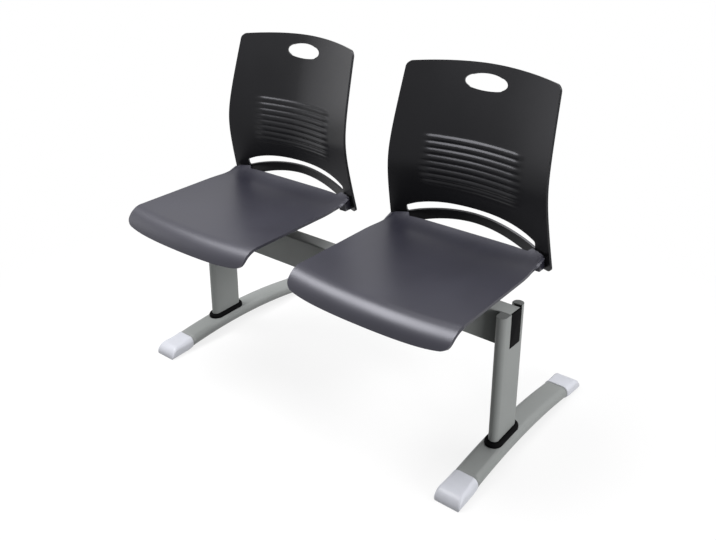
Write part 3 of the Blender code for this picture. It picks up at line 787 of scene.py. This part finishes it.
def post_tube(x):
    """Flat-oval tube, notched at its top for the beam and fitted to the foot below."""
    bm = bmesh.new()
    rings = []
    for z in (foot_high.z, post_high.z):
        rings.append(oval_ring(bm, POST_R, POST_FLAT, Matrix.Translation((x, POST_Y, z))))
    loft(bm, rings, close=False)
    cuts = [((0, beam_low.y - FIT, 0), (0, 1, 0)), ((0, beam_high.y + FIT, 0), (0, 1, 0)),
            ((0, 0, beam_low.z - FIT), (0, 0, 1))]
    for place, normal in cuts:
        geom = bm.verts[:] + bm.edges[:] + bm.faces[:]
        bmesh.ops.bisect_plane(bm, geom=geom, plane_co=place, plane_no=normal, dist=1e-6)
    notch = []
    for face in bm.faces:
        middle = face.calc_center_median()
        if beam_low.y - FIT < middle.y < beam_high.y + FIT and middle.z > beam_low.z - FIT:
            notch.append(face)
    bmesh.ops.delete(bm, geom=notch, context="FACES")
    for v in bm.verts:
        if v.co.z < foot_high.z + FIT:
            v.co.z = foot_top(v.co.x - x, v.co.y) + FIT
        if v.co.z > beam_high.z:
            v.co.z = beam_high.z + (HORN_FRONT if v.co.y < POST_Y else HORN_REAR)
    for m in (-1, 1):
        rim = [v for v in bm.verts if v.co.z > beam_high.z and (v.co.y - POST_Y) * m > 0]
        middle = sum((v.co for v in rim), Vector()) / len(rim)
        bm.faces.new(sorted(rim, key=lambda v: math.atan2(v.co.y - middle.y, v.co.x - middle.x)))
    bmesh.ops.recalc_face_normals(bm, faces=bm.faces[:])
    return bm


def collar_skirt(x):
    """Low black flange that hides the weld between post and foot."""
    bm = bmesh.new()
    rings = []
    for share, height in COLLAR_PROFILE:
        place = Matrix.Translation((x, POST_Y, height * COLLAR_H))
        rings.append(oval_ring(bm, POST_R + COLLAR_WALL * share, POST_FLAT, place))
    place = Matrix.Translation((x, POST_Y, COLLAR_H * COLLAR_INNER))
    rings.append(oval_ring(bm, POST_R + FIT, POST_FLAT, place))
    loft(bm, rings, close=False)
    for v in bm.verts:
        v.co.z += foot_top(v.co.x - x, v.co.y) + FIT
    return bm


def foot_tube(x):
    bm = bmesh.new()
    rings = []
    for i in range(FOOT_STEPS + 1):
        y = mix(foot_low.y, foot_high.y, i / FOOT_STEPS)
        place = Matrix.Translation((x, y, foot_z(y))) @ ALONG_FOOT
        rings.append(oval_ring(bm, FOOT_R, FOOT_FLAT, place))
    return loft(bm, rings, close=False)


def shoe_ring(bm, x, y, share, lap):
    """Cross ring of a shoe: share runs from 0 at the rim to 1 at the nose."""
    left = SHOE * (1 - share)
    radius = mix(FOOT_R, SHOE_EDGE, share)
    low = max(0.0, foot_z(y) - FOOT_R - lap) * max(0.0, 1 - share / SHOE_SOLE)
    high = mix(foot_z(y) + FOOT_R + lap, SHOE_TIP, share) - round_in(left, SHOE_NOSE)
    half = FOOT_FLAT / 2 + FOOT_R + lap - round_in(left, SHOE_CORNER)
    radius = min(radius, (high - low) / 2)
    place = Matrix.Translation((x, y, (low + high) / 2)) @ ALONG_FOOT
    return oval_ring(bm, radius, 2 * (half - radius), place, high - low - 2 * radius)


def shoe(x, rim, e):
    """Blunt plastic shoe on the end of a foot, flat where it stands."""
    bm = bmesh.new()
    rings = [shoe_ring(bm, x, rim, 0.0, lap) for lap in (-SHOE_IN, SHOE_LAP - SHOE_RIM_ROUND)]
    rings.append(shoe_ring(bm, x, rim + e * SHOE_RIM_ROUND, SHOE_RIM_ROUND / SHOE, SHOE_LAP))
    for i in range(2, SHOE_STEPS + 1):
        share = math.sin(math.pi / 2 * i / SHOE_STEPS)
        rings.append(shoe_ring(bm, x, rim + e * SHOE * share, share, SHOE_LAP))
    return loft(bm, rings)


beam = piece("beam", beam_tube(), SILVER, "silver_powder_coat", "beam")
wall(beam, BEAM_WALL, -1.0)
for side, s in SIDES:
    x = s * POST_X
    piece(f"beam_plug_{side}", beam_plug(side), BLACK_PLASTIC, "black_plastic", f"beam_plug_{side}")
    post = piece(f"post_{side}", post_tube(x), SILVER, "silver_powder_coat", f"post_{side}")
    wall(post, POST_WALL, -1.0)
    soft_edges(post, POST_EDGE, 2)
    piece(f"collar_{side}", collar_skirt(x), BLACK_PLASTIC, "black_plastic", f"collar_{side}")
    foot = piece(f"foot_{side}", foot_tube(x), SILVER, "silver_powder_coat", f"foot_{side}")
    wall(foot, FOOT_WALL, -1.0)
    for end, e, rim in (("front", -1, foot_low.y - FIT), ("rear", 1, foot_high.y + FIT)):
        name = f"shoe_{end}_{side}"
        shod = piece(name, shoe(x, rim, e), PALE_PLASTIC, "pale_grey_plastic", name)
        soft_edges(shod, SHOE_SOFT, 3, 50.0)


# Steel and fasteners under the seats
ROUND = 0
HEX = 1
SCREW_SEGMENTS = 24

# A domed head with a six-sided socket: shape, share of its radius, share of its height from the top
DOMED_HEAD = ((HEX, 0.46, 0.55), (HEX, 0.46, 0.04), (ROUND, 0.52, 0.0), (ROUND, 0.72, 0.07),
              (ROUND, 0.90, 0.30), (ROUND, 0.99, 0.65), (ROUND, 1.0, 1.0))

# A six-sided head with its corners turned off: shape, share of its radius, depth from the top
HEX_HEAD = ((ROUND, 0.80, 0.0), (HEX, 0.97, 0.0007), (HEX, 1.0, 0.0012), (HEX, 1.0, BOLT_HEAD_H))


def shaped_ring(bm, shape, radius, height):
    """A round or six-sided ring of edges, its radius measured to the corners."""
    verts = bmesh.ops.create_circle(bm, cap_ends=False, segments=SCREW_SEGMENTS, radius=radius)["verts"]
    if shape == HEX:
        for v in verts:
            turn = math.atan2(v.co.y, v.co.x) % (math.pi / 3) - math.pi / 6
            v.co *= math.cos(math.pi / 6) / math.cos(turn)
    bmesh.ops.translate(bm, vec=(0, 0, height), verts=verts)
    return list({edge for v in verts for edge in v.link_edges})


def fastener(steps, place, axis, close=True):
    """A bolt, nut or screw from its rings, its head's face at place and its length along axis."""
    bm = bmesh.new()
    rings = [shaped_ring(bm, shape, radius, height) for shape, radius, height in steps]
    loft(bm, rings, close)
    turn = Vector((0, 0, 1)).rotation_difference(Vector(axis)).to_matrix().to_4x4()
    bmesh.ops.transform(bm, matrix=Matrix.Translation(place) @ turn, verts=bm.verts[:])
    return bm


def socket_screw(radius, height, length):
    """Domed screw with a six-sided socket."""
    end = height + length
    head = [(shape, out * radius, down * height) for shape, out, down in DOMED_HEAD]
    return head + [(ROUND, SCREW_R, height), (ROUND, SCREW_R, end - SCREW_R),
                   (ROUND, SCREW_TIP * SCREW_R, end)]


def hex_bolt(length):
    """Six-sided head, and a thread on the shank's end."""
    steps = [(shape, out * BOLT_HEAD_R, down) for shape, out, down in HEX_HEAD]
    steps.append((ROUND, BOLT_R, BOLT_HEAD_H))
    height = length - THREAD_LENGTH
    while height < length - THREAD_PITCH:
        steps += [(ROUND, BOLT_R, height), (ROUND, BOLT_R - THREAD_DEPTH, height + THREAD_PITCH / 2)]
        height += THREAD_PITCH
    return steps + [(ROUND, BOLT_R - BOLT_TIP, length)]


def hex_nut(length):
    inside = BOLT_R + FIT
    face = NUT_FACE * BOLT_HEAD_R
    return [(ROUND, inside, 0.0), (ROUND, face, 0.0), (HEX, BOLT_HEAD_R, NUT_CHAMFER),
            (HEX, BOLT_HEAD_R, length - NUT_CHAMFER), (ROUND, face, length), (ROUND, inside, length),
            (ROUND, inside, 0.0)]


def saddle_plate(side):
    """Plate folded over the beam, with rounded bends."""
    low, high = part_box(f"saddle_{side}")
    bm = box(low, high)
    gone = [face for face in bm.faces if face.normal.z < -0.5 or abs(face.normal.x) > 0.5]
    bmesh.ops.delete(bm, geom=gone, context="FACES")
    bends = [e for e in bm.edges if len(e.link_faces) == 2]
    round_edges(bm, bends, SADDLE_BEND, 5)
    bmesh.ops.recalc_face_normals(bm, faces=bm.faces[:])
    if sum(face.normal.z for face in bm.faces) < 0:
        bmesh.ops.reverse_faces(bm, faces=bm.faces[:])
    return bm


def zinc(name, bm):
    return piece(name, bm, ZINC, "zinc_plated_steel", name)


DOWN = (0, 0, -1)
UP = (0, 0, 1)
for side, s in SIDES:
    saddle = zinc(f"saddle_{side}", saddle_plate(side))
    wall(saddle, SADDLE_WALL, -1.0)
    soft_edges(saddle, SADDLE_EDGE, 2)
    for n in ("a", "b"):
        low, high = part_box(f"saddle_bolt_{side}_{n}")
        top = Vector(((low.x + high.x) / 2, (low.y + high.y) / 2, high.z))
        zinc(f"saddle_bolt_{side}_{n}", fastener(hex_bolt(high.z - low.z), top, DOWN))
        nut_low, nut_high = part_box(f"saddle_nut_{side}_{n}")
        top.z = nut_high.z
        zinc(f"saddle_nut_{side}_{n}", fastener(hex_nut(nut_high.z - nut_low.z), top, DOWN, False))
    for n, m in (("inner", -s), ("outer", s)):
        low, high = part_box(f"rail_{n}_{side}")
        middle = (low + high) / 2
        ends = [Matrix.Translation((middle.x, y, middle.z)) @ ALONG_FOOT for y in (low.y, high.y)]
        size = high - low
        tube = bar(*ends, RAIL_CORNER, size.x - 2 * RAIL_CORNER, size.z - 2 * RAIL_CORNER)
        rail = zinc(f"rail_{n}_{side}", tube)
        wall(rail, RAIL_WALL, -1.0)
        for end in ("front", "rear"):
            low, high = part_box(f"seat_screw_{n}_{end}_{side}")
            head = ((low.x + high.x) / 2, (low.y + high.y) / 2, low.z)
            length = high.z - low.z - SEAT_SCREW_HEAD_H
            shape = socket_screw(SEAT_SCREW_HEAD_R, SEAT_SCREW_HEAD_H, length)
            zinc(f"seat_screw_{n}_{end}_{side}", fastener(shape, head, UP))
        for row, z in BACK_SCREW_ZS:
            ahead = back_y(BACK_SCREW_X + SCREW_R, z) - back_y(BACK_SCREW_X - SCREW_R, z)
            above = back_y(BACK_SCREW_X, z + SCREW_R) - back_y(BACK_SCREW_X, z - SCREW_R)
            out = Vector((-m * ahead, 2 * SCREW_R, -above)).normalized()
            skin = Vector((SEAT_X[side] + m * BACK_SCREW_X, back_y(BACK_SCREW_X, z), z))
            skin += out * (BACK_T / 2)
            head = skin + out * (BACK_SCREW_HEAD_H + 2 * FIT)
            shape = socket_screw(BACK_SCREW_HEAD_R, BACK_SCREW_HEAD_H, BACK_SCREW_LENGTH)
            zinc(f"back_screw_{n}_{row}_{side}", fastener(shape, head, -out))


# Floor, background, lamps and camera
# Rays that see the surroundings white: the camera's, and those that pieces mirror or let through
SEEING_RAYS = ("Is Camera Ray", "Is Glossy Ray", "Is Transmission Ray")


def studio_floor():
    """White floor that keeps soft shadows near the chair and is dimmer to the light it throws back."""
    bm = bmesh.new()
    bmesh.ops.create_grid(bm, x_segments=8, y_segments=8, size=30.0)
    mesh = bpy.data.meshes.new("floor")
    bm.to_mesh(mesh)
    bm.free()
    floor = bpy.data.objects.new("floor", mesh)
    bpy.context.scene.collection.objects.link(floor)
    finish = Finish("floor_white", {"Roughness": 0.9, "Specular IOR Level": 0.0})
    seen = sum(finish.node("ShaderNodeLightPath", {}, {}, ray) for ray in SEEING_RAYS)
    length = {"operation": "LENGTH"}
    distance = finish.node("ShaderNodeVectorMath", length, {0: finish.place()}, "Value")
    glow = finish.node("ShaderNodeEmission", {}, {"Color": WHITE, "Strength": 1.0})
    lit = Value(finish, finish.shader.outputs[0])
    share = seen * (FLOOR_GLOW + finish.ease(distance, FLOOR_NEAR, FLOOR_FAR) * (1 - FLOOR_GLOW))
    both = finish.node("ShaderNodeMixShader", {}, {0: share, 1: lit, 2: glow})
    finish.tree.links.new(both.socket, finish.tree.nodes["Material Output"].inputs["Surface"])
    finish.set(Base_Color=finish.blend(seen, colour(0.18, 0.18, 0.175), colour(0.86, 0.86, 0.86)))
    mesh.materials.append(finish.material)


def background():
    """White to the camera and in reflections, and a dimmer even light on the chair."""
    world = bpy.data.worlds.new("studio")
    bpy.context.scene.world = world
    world.use_nodes = True
    tree = world.node_tree
    rays = tree.nodes.new("ShaderNodeLightPath")
    strength = tree.nodes.new("ShaderNodeMapRange")
    total = strength.inputs["Value"]
    for ray in SEEING_RAYS:
        add = tree.nodes.new("ShaderNodeMath")
        tree.links.new(add.outputs["Value"], total)
        tree.links.new(rays.outputs[ray], add.inputs[0])
        total = add.inputs[1]
    total.default_value = 0.0
    strength.inputs["To Min"].default_value = AMBIENT
    strength.inputs["To Max"].default_value = 1.0
    sky = tree.nodes["Background"]
    sky.inputs["Color"].default_value = WHITE
    tree.links.new(strength.outputs["Result"], sky.inputs["Strength"])


def softbox(name, place, target, width, height, power):
    lamp = bpy.data.lights.new(name, "AREA")
    lamp.shape = "RECTANGLE"
    lamp.size = width
    lamp.size_y = height
    lamp.energy = power
    obj = bpy.data.objects.new(name, lamp)
    turn = (Vector(target) - Vector(place)).to_track_quat("-Z", "Y").to_matrix().to_4x4()
    obj.matrix_world = Matrix.Translation(place) @ turn
    bpy.context.scene.collection.objects.link(obj)


def camera():
    data = bpy.data.cameras.new("camera")
    data.sensor_width = CAMERA_SENSOR
    data.lens = CAMERA_LENS
    data.shift_x, data.shift_y = CAMERA_SHIFT
    obj = bpy.data.objects.new("camera", data)
    turn = Matrix.Rotation(math.radians(CAMERA_AZIMUTH), 4, "Z")
    tilt = Matrix.Rotation(math.radians(90 - CAMERA_ELEVATION), 4, "X")
    roll = Matrix.Rotation(math.radians(CAMERA_ROLL), 4, "Z")
    obj.matrix_world = Matrix.Translation(CAMERA_PLACE) @ turn @ tilt @ roll
    bpy.context.scene.collection.objects.link(obj)
    bpy.context.scene.camera = obj


studio_floor()
background()
# Name, place, target, width, height and power of each lamp
softbox("key", (-0.75, -0.83, 2.1), (0.0, -0.15, 0.4), 1.6, 1.0, 68.0)
softbox("rear", (0.26, 0.78, 2.2), (0.1, -0.05, 0.43), 1.3, 0.9, 29.0)
softbox("right_rear", (1.5, 0.9, 1.9), (0.0, 0.0, 0.4), 1.2, 1.0, 14.0)
softbox("side_low", (4.5, -0.7, 1.0), (0.0, 0.0, 0.3), 2.6, 1.5, 148.0)
softbox("left_card", (-2.5, -0.8, 0.9), (0.0, 0.0, 0.6), 1.8, 1.0, 9.0)
camera()
bpy.context.scene.view_settings.view_transform = "Standard"
